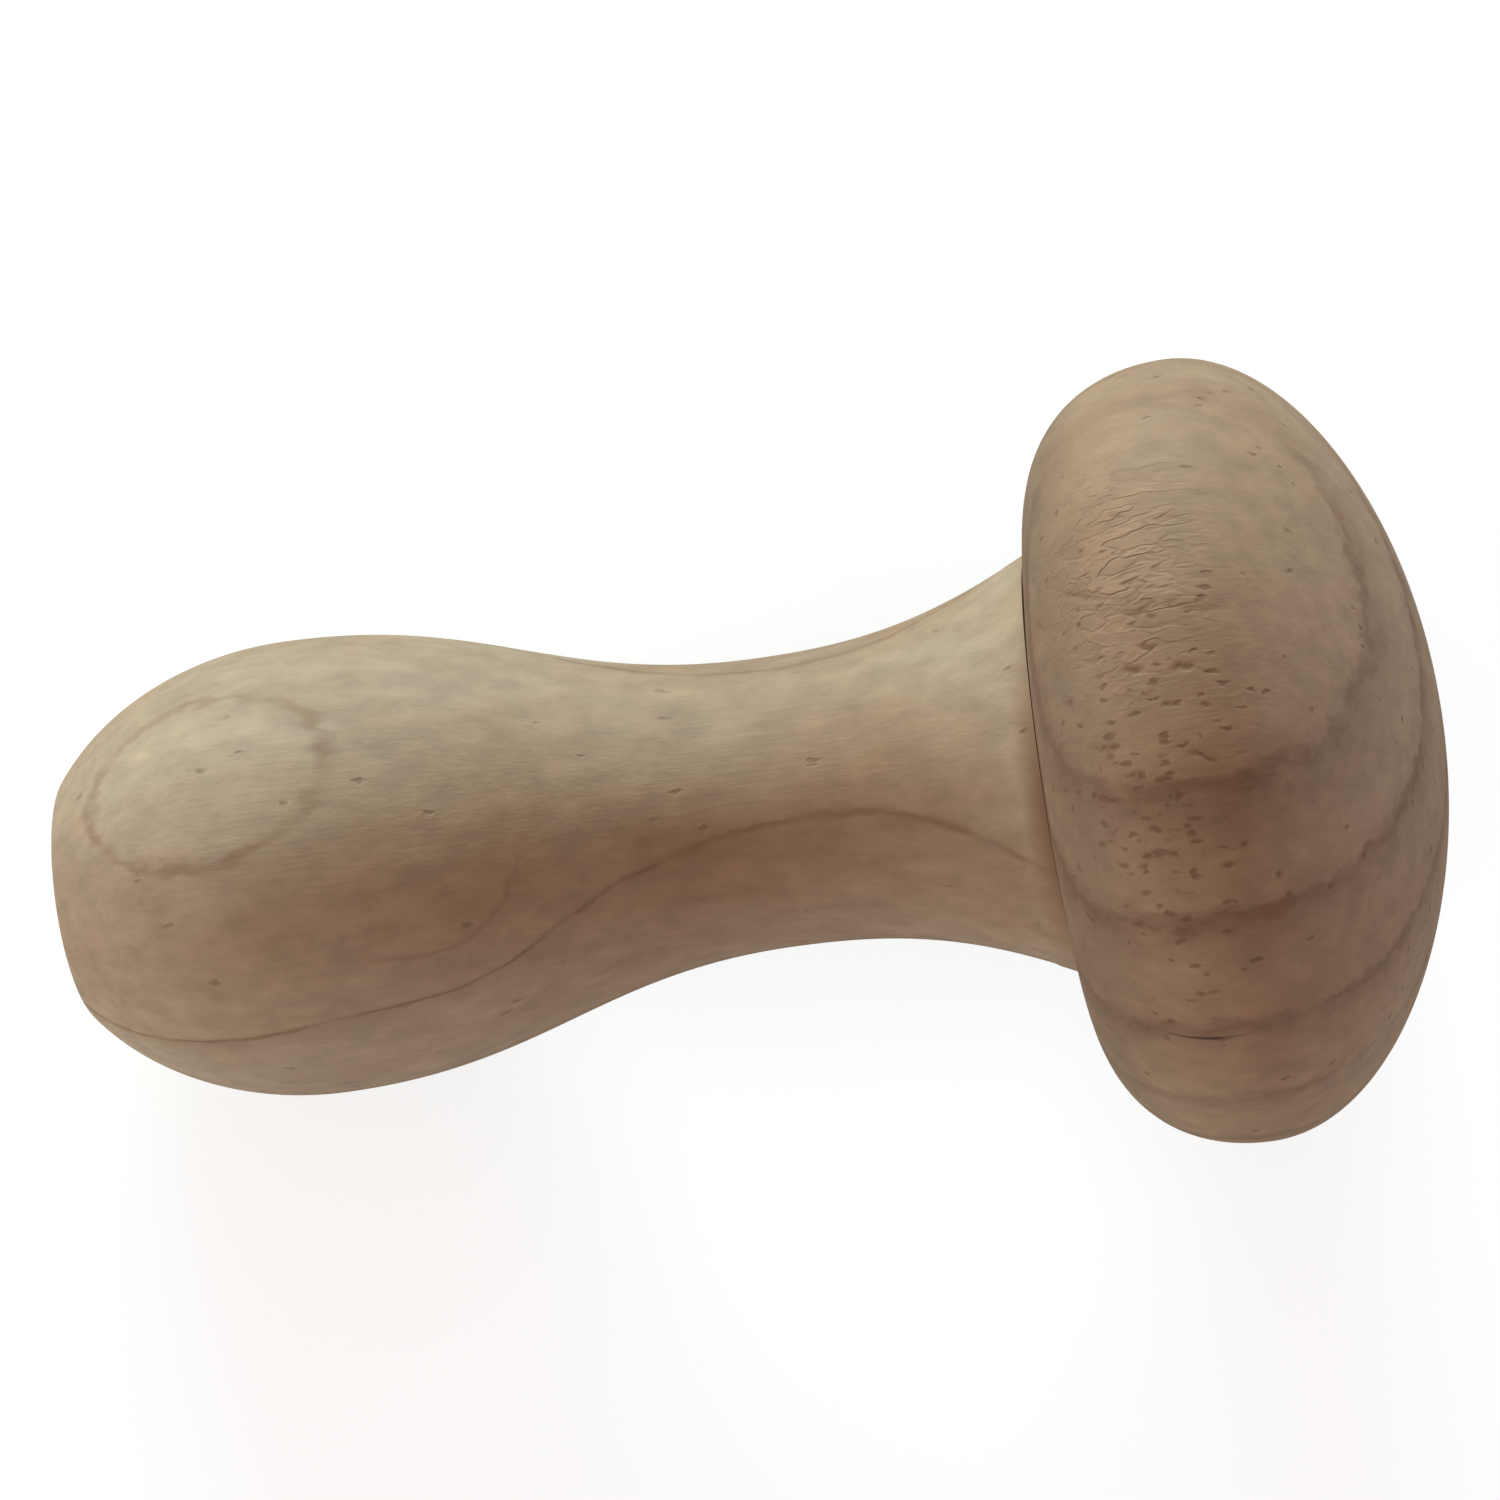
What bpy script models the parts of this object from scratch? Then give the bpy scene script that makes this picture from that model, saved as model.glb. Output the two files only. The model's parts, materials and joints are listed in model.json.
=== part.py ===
"""A turned wooden mallet: a bulged grip and a mushroom head on a hidden, wedged tenon.

Metres, +Z up. The mallet lies on its side, as it does on a bench: butt towards -X, head towards +X.
The head's rim and the grip's swell touch z = 0, and the origin is under the middle of its box.
Every turned piece is drawn in its own lathe frame, with local Z along the turned axis.
"""

import math

import bmesh
import bpy
from mathutils import Vector

# Handle: lengths run along its axis
HANDLE_LENGTH = 0.0936  # butt face to shoulder
BUTT_FACE_DIAMETER = 0.0231
BUTT_EDGE_ROUNDING = 0.0009
SWELL_DIAMETER = 0.0434
SWELL_FROM_BUTT = 0.0227
WAIST_DIAMETER = 0.0275
WAIST_FROM_SHOULDER = 0.0263
SHOULDER_DIAMETER = 0.0395
FLARE_ANGLE = math.radians(26.5)  # of the flare's side where it ends at the shoulder

# Head: heights run from its seat
HEAD_DIAMETER = 0.0735
HEAD_HEIGHT = 0.0359
RIM_HEIGHT = 0.0149  # seat to the widest turn
HEAD_OFFSET = 0.00086  # the socket is bored this far off the head's axis

# How full each curve is: the length of its Bezier handles, as a share of its run
SWELL_FULLNESS = 0.44
WAIST_RUN_IN = 0.43
WAIST_RUN_OUT = 0.33
FLARE_RUN = 0.39
UNDERSIDE_FLATNESS = 0.66
RIM_FULLNESS = 0.58
DOME_RIM_FULLNESS = 0.553
DOME_TOP_FULLNESS = 0.528

# Joint between handle and head
TENON_DIAMETER = 0.0200
TENON_LENGTH = 0.0240  # shoulder to end
KERF_WIDTH = 0.0014  # of the saw cut, at its bottom
KERF_DEPTH = 0.0170
WEDGE_LENGTH = 0.0135
WEDGE_THICKNESS = 0.0030  # at its thick end
WEDGE_INSET = 0.0010  # from the tenon's side to the wedge's edge
SOCKET_END_ROOM = 0.0010  # past the tenon's end
GLUE_THICKNESS = 0.00020
GLUE_SETBACK = 0.00025  # of the glue's edge from the shoulder's edge
SNUG = 0.00015  # gap between faces that touch

# Fineness
TURN_STEPS = 60  # facets round each turned piece, a multiple of four
SWELL_STEPS = 14
WAIST_STEPS = 13
FLARE_STEPS = 10
UNDERSIDE_STEPS = 13
DOME_STEPS = 16
EDGE_STEPS = 3
MERGE_DISTANCE = 0.00001
SHARP_ANGLE = math.radians(32)
ANGLE_PRECISION = 1e-9
OVERCUT = 0.002  # how far a cutter runs past the face it opens

# Finishes: linear base colour and roughness
HANDLE_WOOD = ((0.40, 0.29, 0.19, 1.0), 0.72)
HEAD_WOOD = ((0.34, 0.23, 0.15, 1.0), 0.76)
WEDGE_WOOD = ((0.30, 0.18, 0.10, 1.0), 0.70)
SET_GLUE = ((0.13, 0.07, 0.035, 1.0), 0.45)

# Sizes that follow from those above
SHOULDER_RADIUS = SHOULDER_DIAMETER / 2
HEAD_RADIUS = HEAD_DIAMETER / 2
TENON_RADIUS = TENON_DIAMETER / 2
JOINT_GAP = GLUE_THICKNESS + 2 * SNUG
SEAT_RADIUS = SHOULDER_RADIUS + HEAD_OFFSET
SEAT_FROM_BUTT = HANDLE_LENGTH + JOINT_GAP
KERF_MOUTH = WEDGE_THICKNESS + 2 * SNUG
TENON_SPREAD = (KERF_MOUTH - KERF_WIDTH) / 2  # at the tenon's end, on each side
HALF_STEP = math.pi / TURN_STEPS
FACET_SHARE = math.cos(HALF_STEP)  # a facet's middle, as a share of the turned radius


def bezier(start, start_handle, end_handle, end, steps):
    """Points along one cubic Bezier curve, with its start left out."""
    points = []
    for i in range(1, steps + 1):
        t = i / steps
        u = 1 - t
        points.append(
            u**3 * start
            + 3 * u * u * t * start_handle
            + 3 * u * t * t * end_handle
            + t**3 * end
        )
    return points


def grip_outline():
    """(radius, height above the butt face) from the shoulder's edge down to the butt's centre."""
    shoulder = Vector((SHOULDER_RADIUS, HANDLE_LENGTH))
    waist = Vector((WAIST_DIAMETER / 2, HANDLE_LENGTH - WAIST_FROM_SHOULDER))
    swell = Vector((SWELL_DIAMETER / 2, SWELL_FROM_BUTT))
    flare_run = FLARE_RUN * (shoulder.y - waist.y)
    neck_run = waist.y - swell.y
    outline = [shoulder]
    outline += bezier(
        shoulder,
        shoulder - flare_run * Vector((math.tan(FLARE_ANGLE), 1)),
        waist + Vector((0, WAIST_RUN_OUT * (shoulder.y - waist.y))),
        waist,
        FLARE_STEPS,
    )
    outline += bezier(
        waist,
        waist - Vector((0, WAIST_RUN_IN * neck_run)),
        swell + Vector((0, SWELL_FULLNESS * neck_run)),
        swell,
        WAIST_STEPS,
    )
    outline += butt_outline(swell)
    return outline


def butt_outline(swell):
    """The egg-shaped end under the swell, cut off flat by the butt face, with its edge rounded."""
    face_angle = math.asin(BUTT_FACE_DIAMETER / SWELL_DIAMETER)
    egg_length = SWELL_FROM_BUTT / math.cos(face_angle)

    def on_egg(angle):
        return Vector((swell.x * math.sin(angle), swell.y - egg_length * math.cos(angle)))

    corner = on_egg(face_angle)
    side_rate = math.hypot(swell.x * math.cos(face_angle), egg_length * math.sin(face_angle))
    edge_angle = face_angle + BUTT_EDGE_ROUNDING / side_rate
    outline = []
    for i in range(1, SWELL_STEPS + 1):
        share = i / SWELL_STEPS
        outline.append(on_egg(math.pi / 2 + share * (edge_angle - math.pi / 2)))
    flat_edge = corner - Vector((BUTT_EDGE_ROUNDING, 0))
    last = outline[-1]
    outline += bezier(last, corner, corner, flat_edge, EDGE_STEPS)
    outline.append(Vector((0, 0)))
    return outline


def tenon_spread_at(height):
    """How far the wedge opens the tenon on each side, at this height above the shoulder."""
    kerf_bottom = TENON_LENGTH - KERF_DEPTH
    return TENON_SPREAD * max(0.0, (height - kerf_bottom) / KERF_DEPTH)


def tenon_outline(allowance, top, bottom):
    """The tenon's side from top to bottom, grown by an allowance; heights are above the shoulder."""
    kerf_bottom = TENON_LENGTH - KERF_DEPTH
    radius = TENON_RADIUS + allowance
    return [
        Vector((radius + tenon_spread_at(top), top)),
        Vector((radius, kerf_bottom)),
        Vector((radius, bottom)),
    ]


def raised(points, height):
    """The same points, higher up the axis."""
    return [Vector((p.x, p.y + height)) for p in points]


def handle_outline():
    tenon = tenon_outline(0, TENON_LENGTH, 0)
    return [Vector((0, HANDLE_LENGTH + TENON_LENGTH))] + raised(tenon, HANDLE_LENGTH) + grip_outline()


def head_outline():
    """From the dome's top, over the rim and along the underside to the seat's centre."""
    apex = Vector((0, HEAD_HEIGHT))
    rim = Vector((HEAD_RADIUS, RIM_HEIGHT))
    seat_edge = Vector((SEAT_RADIUS, 0))
    outline = [apex]
    outline += bezier(
        apex,
        apex + Vector((DOME_TOP_FULLNESS * HEAD_RADIUS, 0)),
        rim + Vector((0, DOME_RIM_FULLNESS * (HEAD_HEIGHT - RIM_HEIGHT))),
        rim,
        DOME_STEPS,
    )
    outline += bezier(
        rim,
        rim - Vector((0, RIM_FULLNESS * RIM_HEIGHT)),
        seat_edge + Vector((UNDERSIDE_FLATNESS * (HEAD_RADIUS - SEAT_RADIUS), 0)),
        seat_edge,
        UNDERSIDE_STEPS,
    )
    outline.append(Vector((0, 0)))
    return outline


def socket_outline():
    """The bored and undercut socket; heights are above the shoulder, and it runs out of the seat."""
    top = TENON_LENGTH + SOCKET_END_ROOM
    return [Vector((0, top))] + tenon_outline(JOINT_GAP, top, -OVERCUT) + [Vector((0, -OVERCUT))]


def glue_outline():
    """A closed outline of the set glue: a sleeve round the tenon with a flange under the shoulder."""
    flange_edge = SHOULDER_RADIUS - GLUE_SETBACK
    flange_top = SNUG + GLUE_THICKNESS
    outer = tenon_outline(SNUG + GLUE_THICKNESS, TENON_LENGTH, flange_top)
    inner = tenon_outline(SNUG, TENON_LENGTH, SNUG)
    flange = [Vector((flange_edge, flange_top)), Vector((flange_edge, SNUG))]
    return outer + flange + inner[::-1]


def lowest(outline, tilt):
    """How far above the butt face's centre an outline's lowest flat lies, with the axis tilted."""
    return min(p.y * math.sin(tilt) - FACET_SHARE * p.x * math.cos(tilt) for p in outline)


def lying_angle():
    """The tilt of the axis at which the head and the grip touch the bench together."""
    grip = grip_outline()
    head = raised(head_outline(), SEAT_FROM_BUTT)
    low, high = 0.0, math.pi / 4
    while high - low > ANGLE_PRECISION:
        tilt = (low + high) / 2
        if lowest(head, tilt) < lowest(grip, tilt):
            low = tilt
        else:
            high = tilt
    return low


def resting_place(tilt):
    """Where the butt face's centre goes, so that the box stands on z = 0 about the origin."""
    outline = grip_outline() + raised(head_outline(), SEAT_FROM_BUTT)
    reach = [(p.y * math.cos(tilt), FACET_SHARE * p.x * math.sin(tilt)) for p in outline]
    front = max(along + side for along, side in reach)
    back = min(along - side for along, side in reach)
    return Vector((-(front + back) / 2, HEAD_OFFSET, -lowest(outline, tilt)))


def clear_scene():
    for obj in list(bpy.data.objects):
        bpy.data.objects.remove(obj)


def new_collection(name):
    collection = bpy.data.collections.new(name)
    bpy.context.scene.collection.children.link(collection)
    return collection


def finish(name, look):
    colour, roughness = look
    material = bpy.data.materials.new(name)
    material.use_nodes = True
    shader = material.node_tree.nodes["Principled BSDF"]
    shader.inputs["Base Color"].default_value = colour
    shader.inputs["Roughness"].default_value = roughness
    shader.inputs["Metallic"].default_value = 0.0
    return material


def place(obj, axis, height, side=0.0, turn=0.0):
    """Stands an object on the mallet's axis, at this height above the butt face."""
    obj.parent = axis
    obj.location = (0, side, height)
    obj.rotation_euler = (0, 0, turn)


def turned(name, outline, collection, closed=False):
    """A solid of revolution about local Z, from an outline that runs down its outer side."""
    mesh = bpy.data.meshes.new(name)
    edges = [(i, i + 1) for i in range(len(outline) - 1)]
    if closed:
        edges.append((len(outline) - 1, 0))
    mesh.from_pydata([(p.x, 0, p.y) for p in outline], edges, [])
    obj = bpy.data.objects.new(name, mesh)
    collection.objects.link(obj)
    screw = obj.modifiers.new("Turn", "SCREW")
    screw.axis = "Z"
    screw.angle = 2 * math.pi
    screw.steps = TURN_STEPS
    screw.render_steps = TURN_STEPS
    screw.use_merge_vertices = True
    screw.merge_threshold = MERGE_DISTANCE
    bpy.context.view_layer.objects.active = obj
    bpy.ops.object.modifier_apply(modifier=screw.name)
    obj.data.shade_smooth()
    obj.data.set_sharp_from_angle(angle=SHARP_ANGLE)
    return obj


def tapered_block(name, collection, width, bottom_thickness, top_thickness, length):
    """A block on z = 0, wide along local Y, whose thickness along X changes evenly to its top."""
    mesh = bpy.data.meshes.new(name)
    shape = bmesh.new()
    bmesh.ops.create_cube(shape, size=1.0)
    for corner in shape.verts:
        at_top = corner.co.z > 0
        corner.co.x *= top_thickness if at_top else bottom_thickness
        corner.co.y *= width
        corner.co.z = length if at_top else 0.0
    shape.to_mesh(mesh)
    shape.free()
    obj = bpy.data.objects.new(name, mesh)
    collection.objects.link(obj)
    return obj


def cut(target, cutter):
    cutter.hide_render = True
    cutter.display_type = "WIRE"
    modifier = target.modifiers.new(cutter.name, "BOOLEAN")
    modifier.operation = "DIFFERENCE"
    modifier.solver = "EXACT"
    modifier.object = cutter


def make_handle(axis, parts, cutters):
    handle = turned("handle", handle_outline(), parts)
    place(handle, axis, 0.0, turn=HALF_STEP)
    handle.data.materials.append(finish("handle_wood", HANDLE_WOOD))
    slope = 2 * TENON_SPREAD / KERF_DEPTH
    kerf = tapered_block(
        "kerf_cutter",
        cutters,
        TENON_DIAMETER + 2 * OVERCUT,
        KERF_WIDTH,
        KERF_MOUTH + slope * OVERCUT,
        KERF_DEPTH + OVERCUT,
    )
    place(kerf, axis, HANDLE_LENGTH + TENON_LENGTH - KERF_DEPTH)
    cut(handle, kerf)


def make_head(axis, parts, cutters):
    head = turned("head", head_outline(), parts)
    place(head, axis, SEAT_FROM_BUTT, side=-HEAD_OFFSET, turn=HALF_STEP)
    head.data.materials.append(finish("head_wood", HEAD_WOOD))
    socket = turned("socket_cutter", socket_outline(), cutters)
    place(socket, axis, HANDLE_LENGTH, turn=HALF_STEP)
    cut(head, socket)


def make_wedge(axis, parts):
    """The wedge fills the kerf's mouth, with its thick end flush with the tenon's end."""
    slope = 2 * TENON_SPREAD / KERF_DEPTH
    wedge = tapered_block(
        "tenon_wedge",
        parts,
        TENON_DIAMETER - 2 * WEDGE_INSET,
        WEDGE_THICKNESS - slope * WEDGE_LENGTH,
        WEDGE_THICKNESS,
        WEDGE_LENGTH,
    )
    place(wedge, axis, HANDLE_LENGTH + TENON_LENGTH - WEDGE_LENGTH)
    wedge.data.materials.append(finish("wedge_wood", WEDGE_WOOD))


def make_glue(axis, parts):
    glue = turned("glue_line", glue_outline(), parts, closed=True)
    place(glue, axis, HANDLE_LENGTH, turn=HALF_STEP)
    glue.data.materials.append(finish("set_glue", SET_GLUE))


def main():
    clear_scene()
    parts = new_collection("wooden_mallet")
    cutters = new_collection("cutters")
    tilt = lying_angle()
    axis = bpy.data.objects.new("mallet_axis", None)
    parts.objects.link(axis)
    axis.location = resting_place(tilt)
    axis.rotation_euler = (0, math.pi / 2 - tilt, 0)
    make_handle(axis, parts, cutters)
    make_head(axis, parts, cutters)
    make_wedge(axis, parts)
    make_glue(axis, parts)


main()
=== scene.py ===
"""The looks of a turned wooden mallet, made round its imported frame.

Metres, +Z up. Each turned piece is shaped in its lathe frame, where Z runs along the turned axis from
butt to head, angle 0 points down at the floor and angles grow towards +Y. It is then laid on the
mallet's axis.
"""

import json
import math

import bpy
import numpy as np
from mathutils import Euler, Matrix, Vector, noise


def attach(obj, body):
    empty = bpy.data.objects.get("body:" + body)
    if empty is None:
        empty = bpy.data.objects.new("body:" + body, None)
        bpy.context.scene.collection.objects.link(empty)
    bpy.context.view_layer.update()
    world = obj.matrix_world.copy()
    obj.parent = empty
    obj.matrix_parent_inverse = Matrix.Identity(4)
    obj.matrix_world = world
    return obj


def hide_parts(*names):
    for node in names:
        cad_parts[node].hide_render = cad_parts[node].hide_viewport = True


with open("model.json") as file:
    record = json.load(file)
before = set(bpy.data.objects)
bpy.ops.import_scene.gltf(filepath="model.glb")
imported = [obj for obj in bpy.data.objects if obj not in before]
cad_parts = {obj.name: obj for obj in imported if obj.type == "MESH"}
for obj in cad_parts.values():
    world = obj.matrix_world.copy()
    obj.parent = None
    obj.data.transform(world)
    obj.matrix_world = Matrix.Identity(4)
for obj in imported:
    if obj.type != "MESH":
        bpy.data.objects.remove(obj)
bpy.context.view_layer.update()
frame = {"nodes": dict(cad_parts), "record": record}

bl_info = {
    "name": "Turned Wooden Mallet",
    "version": (1, 0, 0),
    "blender": (4, 5, 0),
    "location": "View3D > Sidebar > Mallet",
    "description": "Builds a two-piece turned mallet: a bulged grip and a mushroom head",
    "category": "Add Mesh",
}

MM = 0.001

# Where the turned axis lies, from the frame's own butt face
BUTT_FACE = next(m for m in frame["record"]["mounts"] if m["name"] == "butt_face")
BUTT_CENTRE = Vector(BUTT_FACE["pos_m"])
AXIS = -Vector(BUTT_FACE["axis"]).normalized()
AXIS_TURN = Euler((0, math.acos(AXIS.z), 0))

# The joint's clearances, as the frame has them
JOINT_GAP = 0.0005  # shoulder to seat, and tenon to socket
TENON_RADIUS = 0.0100
TENON_LENGTH = 0.0240
TENON_SPREAD = 0.00095  # by the wedge, on each side at the tenon's end
KERF_DEPTH = 0.0170
KERF_WIDTH = 0.0014
SOCKET_END_ROOM = 0.0010
SEAM_LAP = 0.0002  # how far shoulder and seat each close up into the gap
GLUE_PLAY = 0.00003  # between the glue and the wood on each side

INSIDE_FACETS = 0.9986  # keeps a smooth turned surface inside the frame's faceted one
CURVE_POINTS = 400
SQUARE = ((-1, -1), (1, -1), (1, 1), (-1, 1))  # corners in order
SHARP_ANGLE = math.radians(40)  # edges that bend further than this stay sharp
UP = math.pi  # the angle that faces straight up
RING_NORMAL = math.radians(152)  # the direction across the growth rings, on the lathe


# ---------------- sizes and colours a user may change


def property_maker(make, **kind):
    """A short way to write properties that share their unit, subtype and limits."""
    return lambda name, description, default: make(
        name=name, description=description, default=default, **kind
    )


Number, Triple = bpy.props.FloatProperty, bpy.props.FloatVectorProperty
a_length = property_maker(Number, min=0.0, precision=5, unit="LENGTH", subtype="DISTANCE")
a_share = property_maker(Number, min=0.0, max=1.0, subtype="FACTOR")
a_power = property_maker(Number, min=0.0, unit="POWER")
an_angle = property_maker(Number, unit="ROTATION", subtype="ANGLE")
a_place = property_maker(Triple, unit="LENGTH", subtype="TRANSLATION")
a_colour = property_maker(Triple, size=3, min=0.0, max=1.0, subtype="COLOR")


class MalletHandleSizes(bpy.types.PropertyGroup):
    """The turned handle."""

    length: a_length("Length", "Butt face to shoulder", 0.0936)
    butt_face_diameter: a_length("Butt Face", "Across the flat end face", 0.0231)
    butt_edge_rounding: a_length("Butt Edge", "Rounding of the end face's edge", 0.0009)
    swell_diameter: a_length("Swell", "Widest turn of the grip", 0.0434)
    swell_from_butt: a_length("Swell Place", "Butt face to the widest turn", 0.0227)
    waist_diameter: a_length("Waist", "Narrowest turn of the grip", 0.0275)
    waist_from_shoulder: a_length("Waist Place", "Shoulder to the narrowest turn", 0.0263)
    shoulder_diameter: a_length("Shoulder", "Where the handle meets the head", 0.0395)
    flare_angle: an_angle("Flare", "Lean of its side at the shoulder", math.radians(26.5))


class MalletHeadSizes(bpy.types.PropertyGroup):
    """The turned head."""

    diameter: a_length("Diameter", "Widest turn of the head", 0.0735)
    height: a_length("Height", "Seat to the top of the dome", 0.0359)
    rim_height: a_length("Rim Height", "Seat to the widest turn", 0.0149)
    offset: a_length("Offset", "Socket centre to the head's own axis", 0.00086)


class MalletHandleWood(bpy.types.PropertyGroup):
    """Colours and grain of the handle's wood."""

    pale: a_colour("Pale Wood", "Sapwood side", (0.505, 0.398, 0.287))
    warm: a_colour("Warm Wood", "Heartwood side", (0.37, 0.242, 0.153))
    line: a_colour("Ring Line", "Thin line where a growth ring ends", (0.25, 0.135, 0.07))
    grime: a_colour("Grime", "Dirt held in pores and creases", (0.13, 0.075, 0.042))
    line_strength: a_share("Ring Strength", "How clearly the growth rings show", 0.66)
    line_width: a_share("Line Width", "Half width of the line, as a share of the ring", 0.045)
    line_wobble: a_share("Line Wobble", "How far the line strays, as a share of the ring", 0.12)
    line_breaks: a_share("Line Breaks", "How far the line fades out in places", 0.6)
    late_wood: a_share("Late Wood", "How much each ring darkens towards its line", 0.10)
    pore_strength: a_share("Pore Strength", "How clearly the pores show", 0.35)
    roughness: a_share("Roughness", "Of the bare sanded surface", 0.68)


class MalletHeadWood(bpy.types.PropertyGroup):
    """Colours and grain of the head's wood, a browner block than the handle."""

    pale: a_colour("Pale Wood", "Sapwood side", (0.42, 0.30, 0.196))
    warm: a_colour("Warm Wood", "Heartwood side", (0.34, 0.209, 0.13))
    line: a_colour("Ring Line", "Thin line where a growth ring ends", (0.20, 0.096, 0.048))
    grime: a_colour("Grime", "Dirt held in pores and creases", (0.165, 0.078, 0.038))
    line_strength: a_share("Ring Strength", "How clearly the growth rings show", 0.55)
    line_width: a_share("Line Width", "Half width of the line, as a share of the ring", 0.10)
    line_wobble: a_share("Line Wobble", "How far the line strays, as a share of the ring", 0.32)
    line_breaks: a_share("Line Breaks", "How far the line fades out in places", 0.9)
    late_wood: a_share("Late Wood", "How much each ring darkens towards its line", 0.24)
    pore_strength: a_share("Pore Strength", "How clearly the pores show", 0.62)
    roughness: a_share("Roughness", "Of the bare sanded surface", 0.70)


class MalletStageSettings(bpy.types.PropertyGroup):
    """Floor, camera and lights."""

    floor: a_colour("Floor", "Plain pale floor", (0.76, 0.80, 0.83))
    camera_place: a_place("Camera", "Where the camera stands", (-0.02147, 0.00086, 0.56643))
    camera_aim: a_place("Aim", "The point the camera looks at", (0.00094, 0.00607, 0.030))
    camera_roll: an_angle("Roll", "Turn about the camera's line of sight", math.radians(7.93))
    camera_width: an_angle("Field Of View", "How wide it sees", math.radians(14.948))
    key_power: a_power("Key Light", "Soft box on the floor at the +Y side", 9.8)
    key_colour: a_colour("Key Colour", "Tint of the key light", (0.79, 1.0, 1.0))
    side_power: a_power("Side Light", "Soft box off the butt's end", 4.7)
    end_power: a_power("End Light", "Soft box off the head's end", 2.8)
    low_power: a_power("Low Light", "Soft box at the -Y side", 1.5)
    fill_strength: a_share("Fill", "Even light from all round", 0.345)
    fill_colour: a_colour("Fill Colour", "Tint of the even light", (1.0, 0.70, 0.55))


# ---------------- outlines, as (radius, height)

# How far each curve's ends pull on it, as shares of its height or its width
FLARE_PULLS = (0.39, 0.33)
NECK_PULLS = (0.43, 0.44)
DOME_PULLS = (0.528, 0.553)
UNDERSIDE_PULLS = (0.58, 0.66)

SKIN_GAP = 0.0006  # between the head's points, and where it has creases
CREASED_GAP = 0.00027
CREASED_RADIUS = 0.033  # it has them further out and lower down than this
CREASED_HEIGHT = 0.0205
LIP = 0.0002  # rounding of the seat's outer edge


def bezier(start, start_handle, end_handle, end):
    share = np.linspace(0.0, 1.0, CURVE_POINTS)[:, None]
    rest = 1.0 - share
    return (
        rest**3 * np.array(start)
        + 3 * rest**2 * share * np.array(start_handle)
        + 3 * rest * share**2 * np.array(end_handle)
        + share**3 * np.array(end)
    )


def line(start, end):
    return np.linspace(start, end, CURVE_POINTS)


def spaced(curve, gap):
    """Points along a curve, a gap apart; gap is one length, or one for each point of the curve."""
    steps = np.hypot(*np.diff(curve, axis=0).T)
    gaps = np.broadcast_to(gap, len(curve))
    lengths = np.concatenate(([0.0], np.cumsum(steps)))
    counts = np.concatenate(([0.0], np.cumsum(steps / (gaps[1:] + gaps[:-1]) * 2)))
    at = np.linspace(0.0, counts[-1], max(2, math.ceil(counts[-1]) + 1))
    places = np.interp(at, counts, lengths)
    return np.stack([np.interp(places, lengths, curve[:, k]) for k in (0, 1)], axis=1)


def joined(curves):
    """Curves that follow on from each other, with each shared point kept once."""
    return np.vstack([curves[0]] + [curve[1:] for curve in curves[1:]])


def flare_and_neck(sizes):
    """From the shoulder's edge over the waist to the swell."""
    shoulder = np.array((sizes.shoulder_diameter / 2, sizes.length))
    waist = np.array((sizes.waist_diameter / 2, sizes.length - sizes.waist_from_shoulder))
    swell = np.array((sizes.swell_diameter / 2, sizes.swell_from_butt))
    flare_run = sizes.waist_from_shoulder
    neck_run = waist[1] - swell[1]
    slope = np.array((math.tan(sizes.flare_angle), 1.0))
    from_shoulder, above_waist = (pull * flare_run for pull in FLARE_PULLS)
    below_waist, above_swell = (pull * neck_run for pull in NECK_PULLS)
    flare = bezier(shoulder, shoulder - from_shoulder * slope, waist + (0, above_waist), waist)
    neck = bezier(waist, waist - (0, below_waist), swell + (0, above_swell), swell)
    lap_edge = shoulder + SEAM_LAP * slope
    return [line(lap_edge, shoulder), flare, neck]


def butt_end(sizes):
    """The egg-shaped end under the swell, its rounded edge and the flat face."""
    swell_radius = sizes.swell_diameter / 2
    face_angle = math.asin(sizes.butt_face_diameter / sizes.swell_diameter)
    egg_length = sizes.swell_from_butt / math.cos(face_angle)
    side_rate = math.hypot(swell_radius * math.cos(face_angle), egg_length * math.sin(face_angle))
    edge_angle = face_angle + sizes.butt_edge_rounding / side_rate
    angles = np.linspace(math.pi / 2, edge_angle, CURVE_POINTS)
    egg = np.stack(
        [swell_radius * np.sin(angles), sizes.swell_from_butt - egg_length * np.cos(angles)], axis=1
    )
    corner = np.array((sizes.butt_face_diameter / 2, 0.0))
    flat_edge = corner - (sizes.butt_edge_rounding, 0)
    return egg, bezier(egg[-1], corner, corner, flat_edge), line(flat_edge, (0.0, 0.0))


def handle_rows(sizes):
    """From the tenon's end down to the butt face's centre."""
    top = sizes.length + TENON_LENGTH
    tenon_end = (TENON_RADIUS + TENON_SPREAD, top)
    kerf_bottom = (TENON_RADIUS, top - KERF_DEPTH)
    shoulder = (TENON_RADIUS, sizes.length + SEAM_LAP)
    lap, flare, neck = flare_and_neck(sizes)
    egg, edge, face = butt_end(sizes)
    curves_and_gaps = [
        (line((0.0, top), tenon_end), 0.003),
        (line(tenon_end, kerf_bottom), 0.004),
        (line(kerf_bottom, shoulder), 0.003),
        (line(shoulder, lap[0]), 0.003),
        (lap, 0.0001),
        (flare, 0.0005),
        (neck, 0.0006),
        (egg, 0.00055),
        (edge, 0.00012),
        (face, 0.0006),
    ]
    return joined([spaced(curve, gap) for curve, gap in curves_and_gaps])


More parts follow.
